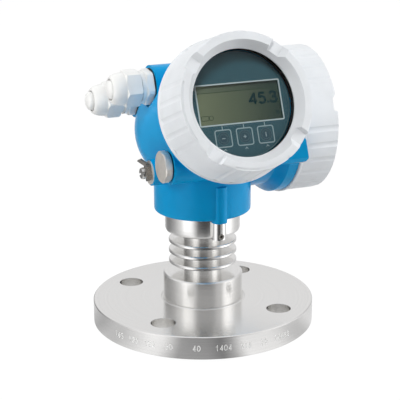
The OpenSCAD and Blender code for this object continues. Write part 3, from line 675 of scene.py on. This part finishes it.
def deepen_grooves(material):
    """The neck with the grooves between its fins cut down to a thin core round its bore."""
    core_wall = 1.2 * MM
    # above the weld foot, only the groove floors lie between these depths below the fins' rim
    foot_h, least_depth, most_depth = 5 * MM, 0.8 * MM, 3.2 * MM
    mesh = NODES["neck"].data.copy()
    mesh.name = "neck_fins"
    low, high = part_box("neck")
    middle = (low.z + high.z) / 2
    foot_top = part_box("process_flange")[1].z + foot_h
    core = min(vertex.co.xy.length for vertex in mesh.vertices) + core_wall
    fin = max(vertex.co.xy.length for vertex in mesh.vertices if vertex.co.z > middle)
    for vertex in mesh.vertices:
        radius = vertex.co.xy.length
        if vertex.co.z > foot_top and fin - most_depth < radius < fin - least_depth:
            vertex.co.x *= core / radius
            vertex.co.y *= core / radius
    recalculate_normals(mesh)
    mesh.materials.clear()
    mesh.materials.append(material)
    piece = add_object("neck_fins", mesh)
    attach(piece, "process_connection")
    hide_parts("neck")
    soften(piece, SOFT_ANGLE)


# ---- Camera, fitted to the photograph ----
CAMERA_AT = Vector((-344.88, -831.56, 366.51)) * MM
CAMERA_TARGET = Vector((-1.61, 0.66, 94.97)) * MM
CAMERA_ROLL = math.radians(-0.333)
CAMERA_LENS = 114.255
SENSOR = 36


def camera_axes():
    """Right, up and ahead of the rolled camera."""
    ahead = (CAMERA_TARGET - CAMERA_AT).normalized()
    right = ahead.cross(Vector((0, 0, 1))).normalized()
    up = right.cross(ahead)
    cos, sin = math.cos(CAMERA_ROLL), math.sin(CAMERA_ROLL)
    return cos * right + sin * up, cos * up - sin * right, ahead


def make_camera():
    """The camera of the photograph's view."""
    right, up, ahead = camera_axes()
    data = bpy.data.cameras.new("camera")
    data.lens = CAMERA_LENS
    data.sensor_width = SENSOR
    data.clip_start = 0.05
    data.clip_end = 50
    camera = add_object("camera", data)
    turn = Matrix((right, up, -ahead)).transposed().to_4x4()
    camera.matrix_world = Matrix.Translation(CAMERA_AT) @ turn
    bpy.context.scene.camera = camera


# ---- What shiny surfaces mirror: soft upright bands round the object ----
# Azimuth in degrees, rising, and 8-bit shade, where more than 255 is brighter than white
BANDS = [(-178, 240), (-168, 298), (-156, 302), (-144, 280), (-134, 200), (-124, 90),
         (-110, 44), (-96, 44), (-86, 96), (-77, 170), (-66, 206), (-57, 206), (-50, 290),
         (-36, 325), (-22, 300), (-10, 252), (2, 224), (26, 206), (46, 232), (84, 232),
         (100, 172), (114, 132), (134, 134), (156, 174)]

# The same for the floor close to the flange, where it fades into BANDS between two distances
# from the axis, in metres
NEAR_BANDS = [(-170, 205), (-155, 235), (-147, 255), (-139, 250), (-127, 165), (-110, 158),
              (-101, 128), (-94, 180), (-86, 255), (-66, 245), (-50, 205), (-40, 200),
              (-25, 232), (0, 220), (60, 226), (135, 225), (152, 196), (166, 180)]
NEAR_END, FAR_START = 0.137, 0.143

# The sky's bands are never darker than this, and fade to an even tone as directions rise
SKY_DARKEST = 140
SKY_BANDS = [(azimuth, max(shade, SKY_DARKEST)) for azimuth, shade in BANDS]
SKY_LOW, SKY_HIGH = 0.3, 0.7
SKY_TOP = (0.9, 0.9, 0.91, 1)

# Strength of the even light, and the floor as the camera sees it: mostly glow, the rest lit
AMBIENT = 0.2
WHITE = (1, 1, 1, 1)
FLOOR_GLOW = (1.035, 1.035, 1.035, 1)
FLOOR_GLOW_SHARE = 0.96


def ray_kinds(tree):
    """1 for rays from the camera, off mirrors and through glass, and 1 for those off mirrors alone."""
    path = tree.node("ShaderNodeLightPath")
    mirrored = path.outputs["Is Glossy Ray"]
    seen = tree.calculate("MAXIMUM", path.outputs["Is Camera Ray"], mirrored)
    seen = tree.calculate("MAXIMUM", seen, path.outputs["Is Transmission Ray"])
    return seen, mirrored


def band_color(tree, parts, bands):
    """Colour of the bands at the azimuth of a split vector."""
    azimuth = tree.calculate("ARCTAN2", parts.outputs["Y"], parts.outputs["X"])
    ramp = tree.node("ShaderNodeValToRGB")
    elements = ramp.color_ramp.elements
    for degrees, shade in bands:
        elements.new((degrees + 180) / 360)
    shades = [bands[0][1]] + [shade for degrees, shade in bands] + [bands[0][1]]
    for element, shade in zip(elements, shades):
        element.color = (*rgb(shade, shade, shade + 1), 1)
    tree.feed(ramp.inputs["Fac"], tree.spread(azimuth, -math.pi, math.pi))
    return ramp.outputs["Color"]


def make_world():
    """Even light on surfaces, white for the camera and the bands for mirrors."""
    world = bpy.data.worlds.new("studio")
    bpy.context.scene.world = world
    tree = Tree(world)
    ambient = tree.nodes["Background"]
    ambient.inputs["Color"].default_value = WHITE
    ambient.inputs["Strength"].default_value = AMBIENT
    seen, mirrored = ray_kinds(tree)
    parts = tree.split(tree.node("ShaderNodeTexCoord").outputs["Generated"])
    height = tree.spread(parts.outputs["Z"], SKY_LOW, SKY_HIGH)
    sky = tree.mix_color(height, band_color(tree, parts, SKY_BANDS), SKY_TOP)
    shown = tree.node("ShaderNodeBackground")
    tree.feed(shown.inputs["Color"], tree.mix_color(mirrored, WHITE, sky))
    light = tree.mix_shader(seen, ambient.outputs["Background"], shown.outputs["Background"])
    tree.feed(tree.nodes["World Output"].inputs["Surface"], light)


# ---- Floor ----
def floor_material():
    """Pale matt floor that glows white to the camera and shows the bands to mirrors."""
    mat = bpy.data.materials.new("floor")
    tree = Tree(mat)
    matt = tree.nodes["Principled BSDF"]
    matt.inputs["Base Color"].default_value = (0.74, 0.74, 0.74, 1)
    matt.inputs["Roughness"].default_value = 0.9
    matt.inputs["Specular IOR Level"].default_value = 0.1
    seen, mirrored = ray_kinds(tree)
    place = tree.node("ShaderNodeTexCoord").outputs["Object"]
    parts = tree.split(place)
    outward = tree.spread(tree.length(place), NEAR_END, FAR_START)
    bands = tree.mix_color(outward, band_color(tree, parts, NEAR_BANDS),
                           band_color(tree, parts, BANDS))
    glow = tree.node("ShaderNodeEmission")
    tree.feed(glow.inputs["Color"], tree.mix_color(mirrored, FLOOR_GLOW, bands))
    share = tree.calculate("MULTIPLY", seen, FLOOR_GLOW_SHARE)
    floor = tree.mix_shader(share, matt.outputs["BSDF"], glow.outputs["Emission"])
    tree.feed(tree.nodes["Material Output"].inputs["Surface"], floor)
    return mat


def make_floor():
    """Plain floor just below the sealing face."""
    half, below = 6.0, 0.2 * MM
    corners = [(-half, -half, 0), (half, -half, 0), (half, half, 0), (-half, half, 0)]
    mesh = bpy.data.meshes.new("floor")
    mesh.from_pydata(corners, [], [(0, 1, 2, 3)])
    mesh.materials.append(floor_material())
    floor = add_object("floor", mesh)
    floor.location.z = -below


# ---- Lamps: name, place, width and height in metres, watts ----
LAMPS = (("key", (-0.42, -0.66, 1.4), (0.3, 0.3), 12.0),
         ("fill", (1.25, -0.5, 0.55), (0.4, 0.6), 11.0),
         ("side", (-1.35, 0.1, 0.4), (0.4, 0.6), 8.0),
         ("rim", (0.2, 1.0, 1.0), (1.0, 0.5), 5.0))
LAMP_TARGET = Vector((0, 0, 0.12))


def make_lamp(name, place, size, watts):
    """A soft lamp that faces the object and isn't seen in mirrors."""
    data = bpy.data.lights.new(name, "AREA")
    data.shape = "RECTANGLE"
    data.size, data.size_y = size
    data.energy = watts
    lamp = add_object(name, data)
    turn = (Vector(place) - LAMP_TARGET).to_track_quat("Z", "Y").to_matrix().to_4x4()
    lamp.matrix_world = Matrix.Translation(place) @ turn
    lamp.visible_glossy = False


# ---- Scene ----
bpy.context.scene.view_settings.view_transform = "Standard"
make_camera()
make_world()
make_floor()
for lamp_row in LAMPS:
    make_lamp(*lamp_row)

materials = {**metals(), **paints(), **plastics(), **display_looks()}
dress_nodes(materials)
print_lcd_frame(materials["face_frame"])
print_key_frames(materials["face_print"])
print_face_rings(materials["face_dim"])
print_key_marks(materials["face_print"])
show_number(materials["lcd_dark"])
show_band(materials["lcd_band"])
show_marks(materials["lcd_faint"])
stamp_rim(materials["stamped"])
deepen_grooves(materials["turned_steel"])
